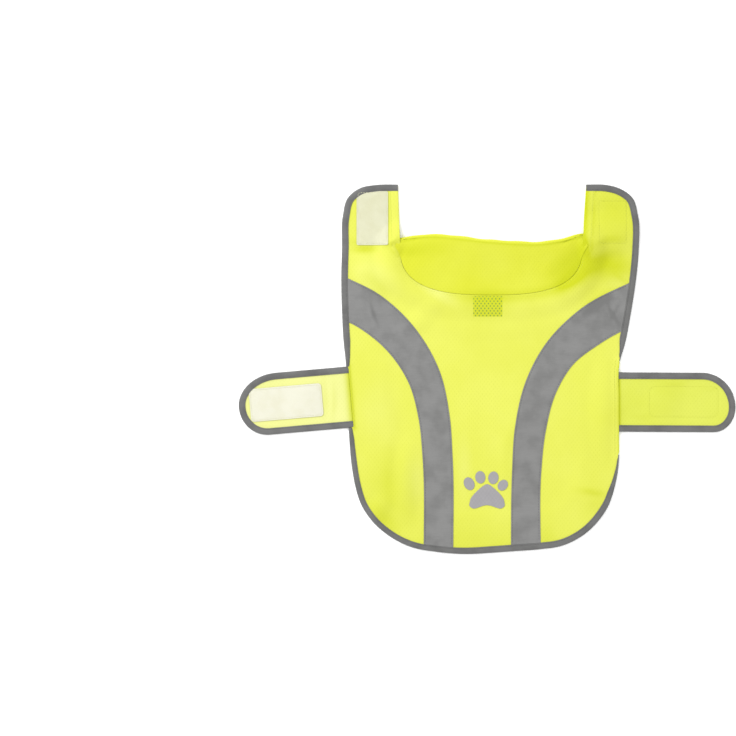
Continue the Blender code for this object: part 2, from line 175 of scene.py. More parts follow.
CollarEdge = namedtuple("CollarEdge", "x y crest")
COLLAR_TOP = (
    CollarEdge(-104.1, 157.2, 6.5),
    CollarEdge(-71, 161.8, 10.5),
    CollarEdge(-41, 160, 13),
    CollarEdge(-5, 156, 14),
    CollarEdge(32, 153.2, 13.5),
    CollarEdge(57, 152.4, 12.5),
    CollarEdge(93, 157.4, 9.5),
    CollarEdge(113.6, 162.6, 7.5),
)

# Shares of the slope's length and rise; then steps along from its top and shares of the crest.
COLLAR_SLOPE = ((0.25, 0.10), (0.5, 0.34), (0.75, 0.70), (0.9, 0.93))
COLLAR_ROLL = ((-4.0, 1.0), (-0.8, 0.9), (0.0, 0.74), (-0.9, 0.58), (-3.4, 0.5), (-1.6, 0.4),
               (-1.4, 0.14), (-2.8, 0.0))

Crease = namedtuple("Crease", "rise width path")
CREASES = (
    Crease(1.3, 3.2, ((-128, 147), (-116, 152), (-104, 159))),
    Crease(-1.2, 7, ((-166, 150), (-150, 146), (-128, 139))),
    Crease(0.9, 9, ((-156, 124), (-140, 110), (-120, 90))),
    Crease(-0.8, 9, ((88, 92), (116, 111), (136, 124), (152, 133), (170, 136))),
    Crease(0.8, 5, ((124, 148), (142, 158), (166, 158))),
    Crease(0.5, 2.2, ((-142, 86), (-138.5, 70), (-131, 52))),
    Crease(0.45, 2.2, ((141, 87), (147, 70), (159, 52))),
    Crease(0.4, 2, ((160, 84), (152, 70), (146, 58))),
    Crease(0.6, 2.6, ((113, -143), (126, -147), (140, -149))),
    Crease(0.5, 9, ((-94, -80), (-97, -130), (-92, -184))),
    Crease(-0.4, 8, ((-112, -95), (-115, -135), (-110, -175))),
    Crease(0.55, 3, ((150, 116), (162, 108), (172, 104))),
    Crease(-0.5, 3.2, ((-195, -8), (-192, -40), (-194, -68))),
    Crease(0.45, 3, ((-187, -10), (-185, -40), (-188, -64))),
    Crease(0.4, 2.4, ((206, -14), (222, -17), (240, -15))),
    Crease(0.35, 2.6, ((168, -53), (182, -56), (198, -54))),
    Crease(0.35, 2.2, ((256, -20), (266, -24), (276, -20))),
    Crease(0.9, 7, ((110, 66), (128, 84), (150, 92))),
    Crease(0.4, 7, ((30, -60), (20, -100), (26, -140))),
)

PUCKER = 0.07
PUCKER_REACH = 14.0


def eased(share):
    """A share held from zero to one, and slow at both ends."""
    share = np.clip(share, 0.0, 1.0)
    return share * share * (3 - 2 * share)


def distances_along(points):
    """How far along its polyline each point lies."""
    steps = np.linalg.norm(np.diff(points[:, :2], axis=0), axis=1)
    return np.concatenate([[0.0], np.cumsum(steps)])


def evenly(points, count):
    """The same polyline with `count` points evenly spaced along it."""
    at = distances_along(points)
    places = np.linspace(0.0, at[-1], count)
    return np.column_stack([np.interp(places, at, column) for column in points.T])


def resample(points, spacing):
    """The same polyline with its points evenly spaced, about `spacing` apart."""
    return evenly(points, max(2, round(distances_along(points)[-1] / spacing) + 1))


def smooth_curve(rows, spacing):
    """Points `spacing` apart on a cubic curve through the rows; further columns follow along."""
    rows = np.array(rows, float)
    at = distances_along(rows)
    slopes = np.gradient(rows, at, axis=0)
    places = np.linspace(0.0, at[-1], int(at[-1]) + 2)
    left = np.clip(np.searchsorted(at, places, side="right") - 1, 0, len(rows) - 2)
    span = (at[left + 1] - at[left])[:, None]
    share = (places - at[left])[:, None] / span
    dense = rows[left] + eased(share) * (rows[left + 1] - rows[left])
    dense += share * (1 - share) ** 2 * span * slopes[left]
    dense += share * share * (share - 1) * span * slopes[left + 1]
    return resample(dense, spacing)


def left_normals(points):
    """Unit normals on the left of a polyline, lengthened at each corner as a mitre."""
    steps = np.diff(points, axis=0)
    steps /= np.linalg.norm(steps, axis=1)[:, None]
    before = np.vstack([steps[:1], steps])
    after = np.vstack([steps, steps[-1:]])
    middle = before + after
    middle /= np.linalg.norm(middle, axis=1)[:, None]
    mitre = np.sum(middle * after, axis=1)[:, None]
    return np.column_stack([-middle[:, 1], middle[:, 0]]) / mitre


def inset(points, distance):
    """The polyline moved to its left; `distance` is one number or one for each point."""
    return points + left_normals(points) * np.reshape(distance, (-1, 1))


def turned(points, angle, x, y):
    """Flat points turned by `angle` degrees and moved to (x, y)."""
    cosine, sine = math.cos(math.radians(angle)), math.sin(math.radians(angle))
    return points @ np.array(((cosine, sine), (-sine, cosine))) + (x, y)


def body_edge():
    """Stretches of the body's outer edge from the left flap's inner corner round to the right's.

    They are cut where the tape folded over the edge stops at the straps: left side with its flap,
    left strap seam, hem, rolled edge over the right strap seam, right side with its flap.
    """
    rows = [(LEFT_FLAP_INNER, FLAP_TOP)]
    rows += [(section.left, section.y) for section in BODY_SECTIONS]
    rows += [(section.right, section.y) for section in reversed(BODY_SECTIONS)]
    rows += [(RIGHT_FLAP_INNER, FLAP_TOP)]
    edge = smooth_curve(rows, 1.0)
    lowest = int(edge[:, 1].argmin())
    cuts = [int(np.argmax(edge[:, 1] < stop)) for stop in LEFT_BINDING_STOPS]
    cuts += [lowest + int(np.argmax(edge[lowest:, 1] > stop)) for stop in reversed(RIGHT_BINDING_STOPS)]
    ends = [0] + cuts + [len(edge) - 1]
    return [resample(edge[start:stop + 1], POINT_SPACING) for start, stop in zip(ends, ends[1:])]


def neck_edge():
    """The cut neck edge, from its right end down round the back of the neck to its left end."""
    angles = np.linspace(0.0, math.pi, NECK_STEPS + 1)
    across = np.sign(np.cos(angles)) * np.abs(np.cos(angles)) ** (2 / NECK_POWER)
    down = np.abs(np.sin(angles)) ** (2 / NECK_POWER)
    return np.column_stack([NECK_CENTRE + NECK_HALF_WIDTH * across, NECK_END - NECK_DEPTH * down])


def strap_edge(strap, grow=0.0):
    """A strap's outline from one root corner round its tip to the other, its inside on the left."""
    half = strap.half_width + grow
    angles = np.linspace(-math.pi / 2, math.pi / 2, TIP_STEPS + 1)
    depth = np.where(angles < 0, strap.low_depth, strap.high_depth) + grow
    rise = half - np.sign(angles) * strap.tip_y
    end = np.column_stack([strap.length + grow - depth * (1 - np.cos(angles)),
                           strap.tip_y + rise * np.sin(angles)])
    points = np.vstack([[(-grow, -half)], end, [(-grow, half)]])
    return turned(points, strap.turn, strap.seam_x, strap.seam_y)


def stripe_outline(rows):
    """The outline of a stripe of changing width laid along its rows."""
    points = smooth_curve(rows, POINT_SPACING * 1.4)
    middle, half = points[:, :2], points[:, 2] / 2
    return np.vstack([inset(middle, -half), inset(middle, half)[::-1]])


def patch_outline(patch):
    """A rectangle with rounded corners, in the turn in which its inside lies on the left."""
    corners = []
    for quarter, (side_x, side_y) in enumerate(((1, 1), (-1, 1), (-1, -1), (1, -1))):
        centre = np.array((side_x * (patch.half_length - patch.corner),
                           side_y * (patch.half_width - patch.corner)))
        angles = (np.linspace(0.0, 1.0, CORNER_STEPS + 1) + quarter) * math.pi / 2
        corners.append(centre + patch.corner * np.column_stack([np.cos(angles), np.sin(angles)]))
    return turned(np.vstack(corners), patch.turn, patch.x, patch.y)


def toe_outline(toe):
    """An oval toe of the paw."""
    angles = np.linspace(0.0, 2 * math.pi, TOE_STEPS, endpoint=False)
    oval = np.column_stack([toe.half_width * np.cos(angles), toe.half_height * np.sin(angles)])
    return turned(oval, toe.turn, toe.x, toe.y)


def pad_outline():
    """The paw's pad: narrow at the top, with a dip between its two lower lobes."""
    angles = np.linspace(0.0, 2 * math.pi, PAD_STEPS, endpoint=False)
    above, below = np.clip(np.sin(angles), 0.0, 1.0), np.clip(-np.sin(angles), 0.0, 1.0)
    narrow = 1.0 - PAD_NARROWING * np.clip(np.sin(angles) + 0.35, 0.0, None) ** 1.4
    x = PAD_HALF_WIDTH * np.cos(angles) * narrow
    dip = PAD_DIP * below * np.clip(1 - (x / (PAD_HALF_WIDTH * PAD_DIP_SHARE)) ** 2, 0.0, 1.0) ** 1.5
    y = PAD_CENTRE + (PAD_TOP - PAD_CENTRE) * above - PAD_LOBE_DEPTH * below ** 0.56 + dip
    return np.column_stack([x, y])


def joined(stretches):
    """One row of the stretches' points, with each point that two of them share kept once."""
    return np.concatenate([stretch[:-1] for stretch in stretches] + [stretches[-1][-1:]])


BODY_STRETCHES = body_edge()
BODY_EDGE = joined(BODY_STRETCHES)
NECK_EDGE = neck_edge()
RIGHT_INNER_EDGE = np.array(((RIGHT_FLAP_INNER, FLAP_TOP), NECK_EDGE[0]))
LEFT_INNER_EDGE = np.array((NECK_EDGE[-1], (LEFT_FLAP_INNER, FLAP_TOP)))
CUT_EDGES = (BODY_EDGE, RIGHT_INNER_EDGE, NECK_EDGE, LEFT_INNER_EDGE,
             strap_edge(LEFT_STRAP), strap_edge(RIGHT_STRAP))
LEFT_STRAP_EDGE, RIGHT_STRAP_EDGE = (resample(edge, POINT_SPACING) for edge in CUT_EDGES[4:])

# The folded tape's width at places along its edge.
EVEN_WIDTH = ((0, 8),)
LEFT_SIDE_WIDTHS = ((-30, 8), (-14, 6), (0, 3.6))
HEM_WIDTHS = ((0, 4.2), (14, 5.8), (40, 6.8), (180, 7), (260, 8),
              (-70, 8), (-48, 6.9), (-30, 4.6), (-12, 2.6), (0, 1.4))
RIGHT_SIDE_WIDTHS = ((0, 1.4), (10, 3.6), (19, 6.4), (26, 8))


def widths_along(edge, tapers):
    """The tape's width at each point of an edge; places below zero are counted from its end."""
    at = distances_along(edge)
    places, widths = np.array(tapers, float).T
    from_end = (places < 0) | ((places == 0) & (np.arange(len(places)) > 0))
    return np.interp(at, places + at[-1] * from_end, widths)


STRETCH_WIDTHS = [widths_along(stretch, tapers) for stretch, tapers in
                  zip(BODY_STRETCHES, (LEFT_SIDE_WIDTHS, EVEN_WIDTH, HEM_WIDTHS, EVEN_WIDTH,
                                       RIGHT_SIDE_WIDTHS))]
BODY_INNER = inset(BODY_EDGE, joined(STRETCH_WIDTHS) - 0.1)
LEFT_STRAP_INNER, RIGHT_STRAP_INNER = (inset(edge, BINDING_WIDTH - 0.1)
                                       for edge in (LEFT_STRAP_EDGE, RIGHT_STRAP_EDGE))


def from_segment(start, stop, x, y):
    """How far each point lies from a straight segment, and at what share of its length."""
    run = stop - start
    share = np.clip(((x - start[0]) * run[0] + (y - start[1]) * run[1]) / (run @ run), 0.0, 1.0)
    return np.hypot(x - start[0] - share * run[0], y - start[1] - share * run[1]), share


def distance_to(edges, x, y):
    """How far each point lies from the nearest of the polylines."""
    nearest = np.full(np.shape(x), np.inf)
    for edge in edges:
        for start, stop in zip(edge, edge[1:]):
            nearest = np.minimum(nearest, from_segment(start, stop, x, y)[0])
    return nearest


def along_path(path, x, y):
    """How far each point lies from a path, and at what share of the path's length."""
    at = distances_along(path)
    nearest, share = np.full(np.shape(x), np.inf), np.zeros(np.shape(x))
    for start, stop, begun, ended in zip(path, path[1:], at, at[1:]):
        away, along = from_segment(start, stop, x, y)
        closer = away < nearest
        nearest = np.where(closer, away, nearest)
        share = np.where(closer, (begun + along * (ended - begun)) / at[-1], share)
    return nearest, share


def on_oval(oval, x, y):
    """Each point's place on a turned oval, in shares of its half length and its half width."""
    cosine, sine = math.cos(math.radians(oval.turn)), math.sin(math.radians(oval.turn))
    along = ((x - oval.x) * cosine + (y - oval.y) * sine) / oval.half_length
    across = ((y - oval.y) * cosine - (x - oval.x) * sine) / oval.half_width
    return along, across


def swell(share):
    """How strong a crease is along its path: full at its middle and nothing at its ends."""
    return np.sin(np.pi * np.clip(share, 0.0, 1.0)) ** 0.7


CREASE_PATHS = [smooth_curve(crease.path, 5.0) for crease in CREASES]


def lie(x, y):
    """Height of the cloth's underside: flat on the surface, lifted at its edges and in its folds."""
    edge_away = distance_to(CUT_EDGES, x, y)
    flat = EDGE_LIFT * (1 - eased((edge_away - EDGE_BAND) / EDGE_RAMP))
    sides = np.clip(np.abs(x - NECK_CENTRE) / NECK_HALF_WIDTH, 0.0, 1.0)
    rise = RIM_RISE_MIDDLE + (RIM_RISE_SIDES - RIM_RISE_MIDDLE) * sides ** 2
    across = (distance_to((NECK_EDGE,), x, y) - RIM_CREST) / RIM_REACH
    height = flat + rise * np.clip(1 - across ** 2, 0.0, 1.0) ** 2
    for fold in FOLDS:
        along, across = on_oval(fold, x, y)
        height += fold.rise * np.clip(1 - along ** 2 - across ** 2, 0.0, 1.0) ** 2
    for crease, path in zip(CREASES, CREASE_PATHS):
        away, share = along_path(path, x, y)
        height += crease.rise * swell(share) * np.exp(-(away / crease.width) ** 2)
    waves = 2 + np.sin(x / 3.1 + 1.3 * np.sin(y / 17)) + np.sin(y / 2.7 + 1.1 * np.sin(x / 13))
    return np.maximum(height, flat) + PUCKER * waves * np.exp(-(edge_away / PUCKER_REACH) ** 2)


RIM_STEPS = (0.12, 0.24, 0.34)
CUT_SNAP = 0.0005
FIRST_CUT = 0.43
TRIM_MERGE = 0.6


def flat_places(bm):
    """The flat place of each vertex, one to a row."""
    return np.array([vert.co.xy for vert in bm.verts])


def slice_flat(bm, place, across, clear=False):
    """Cuts the flat mesh along a line through a place; `clear` drops what lies beyond the line."""
    bmesh.ops.bisect_plane(bm, geom=bm.verts[:] + bm.edges[:] + bm.faces[:], dist=CUT_SNAP,
                           plane_co=(*place, 0.0), plane_no=(*across, 0.0), clear_outer=clear)


def divide_large_faces(bm):
    """Makes triangles of each face with more than four sides."""
    bmesh.ops.triangulate(bm, faces=[face for face in bm.faces if len(face.verts) > 4])


def flat_cut(outline, pitch, inner=None):
    """A flat piece cut to its outline, with a fine rim, divided into cells about `pitch` wide."""
    bm = bmesh.new()
    bm.faces.new([bm.verts.new((x, y, 0.0)) for x, y in outline])
    if inner is not None:
        trim_to_binding(bm, outline, inner)
    for width in RIM_STEPS:
        middle = max(bm.faces, key=lambda face: face.calc_area())
        bmesh.ops.inset_region(bm, faces=[middle], thickness=width, use_boundary=True,
                               use_even_offset=True)
    lowest, highest = flat_places(bm).min(axis=0), flat_places(bm).max(axis=0)
    for axis in (0, 1):
        for place in np.arange(lowest[axis] + FIRST_CUT * pitch, highest[axis], pitch):
            slice_flat(bm, (place, place), (1 - axis, axis))
    divide_large_faces(bm)
    return bm


def holds(outline, place):
    """Whether a flat place lies inside a closed outline."""
    (x, y), after = outline.T, np.roll(outline, -1, axis=0)
    crossed = (y > place[1]) != (after[:, 1] > place[1])
    slope = (after[:, 0] - x)[crossed] / (after[:, 1] - y)[crossed]
    return np.count_nonzero(x[crossed] + slope * (place[1] - y[crossed]) > place[0]) % 2 == 1


def trim_to_binding(bm, outline, inner):
    """Cuts off what would reach under folded tape, whose inner edge is given."""
    for start, stop in zip(inner, inner[1:]):
        if holds(outline, start) or holds(outline, stop):
            slice_flat(bm, start, (stop[1] - start[1], start[0] - stop[0]), clear=True)
    bmesh.ops.remove_doubles(bm, verts=bm.verts[:], dist=TRIM_MERGE)


def refine(bm, lines, reach, rounds):
    """Divides the cells that lie within reach of the lines."""
    for _ in range(rounds):
        middles = np.array([(edge.verts[0].co + edge.verts[1].co)[:2] for edge in bm.edges]) / 2
        near = distance_to(lines, middles[:, 0], middles[:, 1]) < reach
        edges = [edge for edge, close in zip(bm.edges, near) if close]
        bmesh.ops.subdivide_edges(bm, edges=edges, cuts=1, use_grid_fill=True)
    divide_large_faces(bm)


def rim_of(bm):
    """The boundary edges of a flat cut, as short lines."""
    return [np.array([vert.co.xy for vert in edge.verts]) for edge in bm.edges if edge.is_boundary]


def thicken(bm, low, high, relief=None):
    """Lays a flat cut on the cloth from `low` to `high` above its underside, with a round rim."""
    x, y = flat_places(bm).T
    rounding = min((high - low) / 2, sum(RIM_STEPS))
    missing = np.clip(1 - distance_to(rim_of(bm), x, y) / rounding, 0.0, 1.0)
    drop = rounding * (1 - np.sqrt(1 - missing ** 2))
    base = lie(x, y)
    top = base + high - drop + (0.0 if relief is None else relief(x, y))
    levels = {tuple(vert.co.xy): pair for vert, pair in zip(bm.verts, zip(base + low + drop, top))}
    raised = bmesh.ops.extrude_face_region(bm, geom=bm.faces[:], use_keep_orig=True)
    upper = {item for item in raised["geom"] if isinstance(item, bmesh.types.BMVert)}
    for vert in bm.verts:
        vert.co.z = levels[tuple(vert.co.xy)][vert in upper]


def lofted(rings):
    """A closed tube through rings of equally many points, made from a grid; its ends are closed."""
    rings = np.array(rings)
    stations, points = rings.shape[:2]
    bm = bmesh.new()
    bmesh.ops.create_grid(bm, x_segments=points, y_segments=stations - 1, size=0.5)
    for vert in bm.verts:
        column = round((vert.co.x + 0.5) * points) % points
        row = round((vert.co.y + 0.5) * (stations - 1))
        vert.co = rings[row, column]
    bmesh.ops.remove_doubles(bm, verts=bm.verts[:], dist=0.0001)
    ends = [edge for edge in bm.edges if edge.is_boundary]
    caps = bmesh.ops.holes_fill(bm, edges=ends, sides=0)["faces"]
    bmesh.ops.triangulate(bm, faces=caps)
    return bm


SHARP_ANGLE = math.radians(50)


def placed(name, data):
    """A new object in the scene."""
    thing = bpy.data.objects.new(name, data)
    bpy.context.collection.objects.link(thing)
    return thing


def placed_mesh(name, bm, finish):
    """The mesh with its finish, as an object in the scene."""
    mesh = bpy.data.meshes.new(name)
    bm.to_mesh(mesh)
    bm.free()
    mesh.materials.append(finish)
    return placed(name, mesh)


def show(name, bm, finish, slot, *nodes):
    """The finished piece in the scene, riding on the vest and standing for its nodes."""
    bmesh.ops.recalc_face_normals(bm, faces=bm.faces[:])
    bmesh.ops.scale(bm, vec=(MM, MM, MM), verts=bm.verts[:])
    piece = placed_mesh(name, bm, finish)
    piece.data.shade_smooth()
    piece.data.set_sharp_from_angle(angle=SHARP_ANGLE)
    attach(piece, "root")
    if nodes:
        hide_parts(*nodes)
    return piece


class Wire:
    """A number that varies over a surface; arithmetic on it adds Math nodes."""

    def __init__(self, finish, socket):
        self.finish, self.socket = finish, socket

    def work(self, operation, *terms):
        return self.finish.add("Math", {"operation": operation}, dict(enumerate(terms)))[0]

    def __add__(self, other):
        return self.work("ADD", self, other)

    def __mul__(self, other):
        return self.work("MULTIPLY", self, other)

    def __sub__(self, other):
        return self.work("SUBTRACT", self, other)

    def __rsub__(self, other):
        return self.work("SUBTRACT", other, self)

    def cos(self):
        return self.work("COSINE", self)

    def wave(self, pitch):
        return self.work("SINE", self * (2 * math.pi / pitch))

    def size(self):
        return self.work("ABSOLUTE", self)

    __radd__ = __add__
    __rmul__ = __mul__


OBJECT_PLACE = 3
MIX_SHARE, MIX_FIRST, MIX_SECOND, MIX_COLOUR = 0, 6, 7, 2
SPAN_MARGIN = 0.2
SPAN_FADE = 1.6


class Finish:
    """A material of a name and roughness, to which nodes are added."""

    def __init__(self, name, roughness, sheen=0.0):
        self.material = bpy.data.materials.new(name)
        self.material.use_nodes = True
        self.nodes, self.links = self.material.node_tree.nodes, self.material.node_tree.links
        self.surface = self.nodes["Principled BSDF"]
        self.surface.inputs["Roughness"].default_value = roughness
        self.surface.inputs["Sheen Weight"].default_value = sheen
        self.surface.inputs["Specular IOR Level"].default_value = 0.3
        self.place = self.add("TexCoord")[OBJECT_PLACE]

    def feed(self, node, inputs):
        for key, value in inputs.items():
            if isinstance(value, Wire):
                self.links.new(value.socket, node.inputs[key])
            else:
                node.inputs[key].default_value = value

    def add(self, kind, settings=None, inputs=None):
        node = self.nodes.new("ShaderNode" + kind)
        for name, value in (settings or {}).items():
            setattr(node, name, value)
        self.feed(node, inputs or {})
        return [Wire(self, socket) for socket in node.outputs]

    def noise(self, scale, detail=2.0, place=None):
        """Noise about zero to one; `scale` is in patches for each metre."""
        inputs = {"Vector": place or self.place, "Scale": scale, "Detail": detail}
        return self.add("TexNoise", None, inputs)[0]

    def between(self, value, low, high):
        """Zero where the value is below `low`, one above `high`, and smooth between."""
        settings = {"interpolation_type": "SMOOTHSTEP"}
        return self.add("MapRange", settings, {"Value": value, "From Min": low, "From Max": high})[0]

    def span(self, value, middle, half):
        """One within `half` millimetres of the middle, with a soft end inside it."""
        away = (value - middle * MM).size()
        return self.between(away, (half - SPAN_MARGIN) * MM, (half - SPAN_MARGIN - SPAN_FADE) * MM)

    def mix(self, share, first, second):
        """A colour between two colours."""
        sockets = {MIX_SHARE: share, MIX_FIRST: first, MIX_SECOND: second}
        return self.add("Mix", {"data_type": "RGBA"}, sockets)[MIX_COLOUR]

    def scaled(self, colour, share):
        """A colour made darker or lighter."""
        grey = self.add("CombineXYZ", None, {0: share, 1: share, 2: share})[0]
        return self.add("VectorMath", {"operation": "MULTIPLY"}, {0: colour, 1: grey})[0]

    def axes(self, place=None):
        """The three numbers of a place."""
        return self.add("SeparateXYZ", None, {0: place or self.place})

    def drifting(self, scale, amount):
        """The place on the piece, pushed about a little, so that a pattern isn't ruled."""
        cloud = self.add("TexNoise", None, {"Vector": self.place, "Scale": scale, "Detail": 1.0})[1]
        shift = self.add("VectorMath", {"operation": "SCALE"}, {0: cloud, "Scale": amount})[0]
        return self.add("VectorMath", {"operation": "ADD"}, {0: self.place, 1: shift})[0]

    def marked(self, name):
        """The amount that the mesh keeps under this name at each of its points."""
        return self.add("Attribute", {"attribute_name": name})[2]

    def done(self, colour, height, depth, roughness=None):
        """Joins the colour and the relief to the surface; `depth` is the relief's, in metres."""
        relief = self.add("Bump", None, {"Height": height, "Distance": depth, "Strength": 1.0})[0]
        self.feed(self.surface, {"Base Color": colour, "Normal": relief})
        if roughness is not None:
            self.feed(self.surface, {"Roughness": roughness})
        return self.material


def shade(red, green, blue):
    """A colour as a screen shows it, made linear."""
    screen = np.array((red, green, blue)) / 255
    linear = np.where(screen < 0.04045, screen / 12.92, ((screen + 0.055) / 1.055) ** 2.4)
    return (*linear.tolist(), 1.0)


MESH_PITCH = (0.00445, 0.00585)
# Colours toward which the mesh goes with painted shade and deeper tone, and with painted light and
# paler tone.
MESH_DEEP_TONE_AND_SHADE = shade(172, 179, 2)
MESH_PALE_TONE_AND_LIGHT = shade(211, 212, 146)
MESH_HOLE = shade(104, 132, 52)


def hole_rows(x, y):
    """High at the middle of each of the mesh's staggered holes, and low between them."""
    return (x * (2 * math.pi / MESH_PITCH[0])).cos() * (y * (2 * math.pi / MESH_PITCH[1])).cos()


def air_mesh(name, colour, label=False):
    """Knitted air mesh: staggered holes, yarn between them, and painted shade and painted light, deeper
    or paler in colour, in soft zones, lines and creases.
    """
    finish = Finish(name, 0.85, 0.03)
    x, y, _ = finish.axes(finish.drifting(16.0, 0.0012))
    hole = finish.between(hole_rows(x, y), 0.25, 0.8)
    yarn = finish.noise(2600.0, 3.0)
    broad = finish.between(finish.noise(11.0, 3.0), 0.3, 0.7)
    soft = finish.noise(60.0)
    open_share = hole * (0.02 + 0.02 * broad)
    # Painted light kept under 'pale' and a little random tone make the cloth paler; painted shade kept
    # under 'deep' and a little random tone make it darker.
    pale_tone_and_light = finish.mix(finish.marked("pale") + 0.08 * broad, colour, MESH_PALE_TONE_AND_LIGHT)
    body = finish.mix(1.15 * finish.marked("deep") + 0.12 * soft, pale_tone_and_light, MESH_DEEP_TONE_AND_SHADE)
    if label:
        plain_x, plain_y, _ = finish.axes()
        across = finish.span(plain_x, NECK_LABEL.x, NECK_LABEL.half_length)
        over = across * finish.span(plain_y, NECK_LABEL.y, NECK_LABEL.half_width)
        body = finish.mix(0.8 * over, body, MESH_DEEP_TONE_AND_SHADE)
        open_share = open_share + 0.95 * over * hole
    tone = 0.96 + 0.03 * broad + 0.03 * soft + 0.04 * yarn
    height = 0.75 * (1 - hole) + 0.25 * yarn
    cloth = finish.mix(open_share, body, MESH_HOLE)
    return finish.done(finish.scaled(cloth, tone), height, 0.00013, 0.72 + 0.16 * hole)


STREAK_SCALE = (90.0, 700.0, 90.0)
WRINKLE_SHADE = 4.0


def reflective_cloth(name, colour, deep, weave):
    """Glass-bead tape: a fine grain, dull patches where it has been bent, its weave beneath, and
    painted shade on the shaded side of creases.
    """
    finish = Finish(name, 0.42)
    x, y, _ = finish.axes()
    grain = finish.noise(4200.0)
    patches = finish.between(finish.noise(45.0, 4.0), 0.35, 0.7)
    stretched = finish.add("Mapping", None, {"Vector": finish.place, "Scale": STREAK_SCALE})[0]
    streaks = finish.noise(1.0, 3.0, stretched)
    threads = x.wave(weave) * y.wave(weave)
    # Wear patches, streaks and grain, with painted shade of the creases kept under 'deep'.
    dull = 0.5 * patches + 0.35 * streaks + 0.25 * grain + WRINKLE_SHADE * finish.marked("deep")
    height = 0.5 * grain + 0.3 * threads + 0.4 * patches
    return finish.done(finish.mix(dull, colour, deep), height, 0.00012, 0.4 + 0.2 * patches)


def film(name, colour, deep):
    """Pressed-on reflective film: smooth, with the mesh faintly showing through it."""
    finish = Finish(name, 0.35)
    x, y, _ = finish.axes()
    holes = hole_rows(x, y)
    grain = finish.noise(3600.0)
    cloud = finish.noise(90.0, 3.0)
    dull = 0.45 * cloud + 0.3 * grain + 0.1 * holes
    return finish.done(finish.mix(dull, colour, deep), 0.4 * grain - 0.4 * holes, 0.0001)


HOOK_PITCH = (0.0014, 0.0011)


def hook_field(name, colour, deep):
    """Hook tape: rows of tiny hooks with a plain woven border between the rows."""
    finish = Finish(name, 0.6)
    x, y, _ = finish.axes(finish.drifting(120.0, 0.0004))
    hooks = finish.between(x.wave(HOOK_PITCH[0]) * y.wave(HOOK_PITCH[1]), -0.2, 0.7)
    worn = finish.between(finish.noise(70.0, 3.0), 0.35, 0.75)
    dark = 0.35 * (1 - hooks) + 0.3 * worn
    return finish.done(finish.mix(dark, colour, deep), hooks + 0.3 * finish.noise(2500.0), 0.00022)


def pile(name, colour, deep):
    """Loop tape: a matted pile of fine loops."""
    finish = Finish(name, 0.95, 0.5)
    loops = finish.noise(1600.0, 4.0, finish.drifting(300.0, 0.001))
    matted = finish.noise(140.0)
    dark = 0.6 * finish.between(loops, 0.6, 0.35) + 0.3 * matted
    return finish.done(finish.mix(dark, colour, deep), loops, 0.0006)


def woven(name, colour, deep, pitch, depth):
    """Plain weave, used for the label and, finer, as the twist of the thread."""
    finish = Finish(name, 0.7, 0.1)
    x, y, z = finish.axes(finish.drifting(200.0, 0.0002))
    weave = (x + z).wave(pitch) * (y + z).wave(pitch)
    dark = 0.35 * finish.between(weave, 0.1, -0.6) + 0.25 * finish.noise(300.0)
    return finish.done(finish.mix(dark, colour, deep), weave, depth)


BODY_MESH = air_mesh("fluorescent_mesh_body", shade(193, 197, 72), label=True)
# The collar's colour is darker and more saturated than the body's: partly its doubled cloth, partly
# painted shade on its slope.
COLLAR_MESH = air_mesh("fluorescent_mesh_collar", shade(188, 192, 37))
# The left strap's mesh is a paler copy with painted light, and the right strap's a darker copy with
# painted shade, as the key light falls from the left.
LEFT_MESH_PAINTED_LIGHT = air_mesh("fluorescent_mesh_left_strap_painted_light", shade(200, 202, 125))
RIGHT_MESH_PAINTED_SHADE = air_mesh("fluorescent_mesh_right_strap_painted_shade", shade(186, 193, 66))
STRIPE_TAPE = reflective_cloth("reflective_stripe", shade(121, 121, 120), shade(99, 99, 98), 0.0007)
EDGE_TAPE = reflective_cloth("reflective_binding", shade(101, 101, 100), shade(78, 78, 77), 0.0009)
PAW_FILM = film("reflective_film", shade(143, 141, 143), shade(126, 124, 126))
FLAP_HOOKS = hook_field("hook_tape_flap", shade(203, 203, 177), shade(187, 186, 149))
STRAP_HOOKS = hook_field("hook_tape_strap", shade(213, 212, 197), shade(200, 198, 169))
LOOP_PILE = pile("loop_tape_yellow", shade(190, 197, 84), shade(160, 168, 40))
LABEL_CLOTH = woven("label_weave", shade(190, 192, 168), shade(168, 170, 142), 0.0006, 0.0001)
GREY_THREAD = woven("thread_grey", shade(94, 94, 93), shade(70, 70, 69), 0.0004, 0.00008)
YELLOW_THREAD = woven("thread_yellow", shade(190, 196, 66), shade(178, 185, 48), 0.0004, 0.00008)
CREAM_THREAD = woven("thread_cream", shade(206, 206, 172), shade(180, 180, 138), 0.0004, 0.00008)

HEM_WIDTH = 11.0
HEM_RISE = 0.55
ROLL_WIDTH = 7.0
ROLL_RISE = 1.3
SEAM_RIDGE = 0.8
SEAM_WIDTH = 2.2
HEM_SOFTNESS = 0.8
DENT = 0.2
DENT_WIDTH = 0.9

FLAP_EDGES = (RIGHT_INNER_EDGE, LEFT_INNER_EDGE)
COLLAR_CREST = smooth_curve(COLLAR_TOP, 1.0)[:, :2]
ROLLED_EDGE = BODY_STRETCHES[3]


def strap_root(strap):
    """The line on which a strap is sewn to the body."""
    ends = np.array(((0.0, -strap.half_width), (0.0, strap.half_width)))
    return turned(ends, strap.turn, strap.seam_x, strap.seam_y)


def closed(points):
    """A polyline brought back to its first point."""
    return np.vstack([points, points[:1]])


def patch_row(patch, depth):
    """The row of stitches round a patch, `depth` inside its edge."""
    smaller = patch._replace(half_length=patch.half_length - depth, half_width=patch.half_width - depth,
                             corner=max(patch.corner - depth, 0.8))
    return closed(resample(closed(patch_outline(smaller)), 2.0)[:-1])


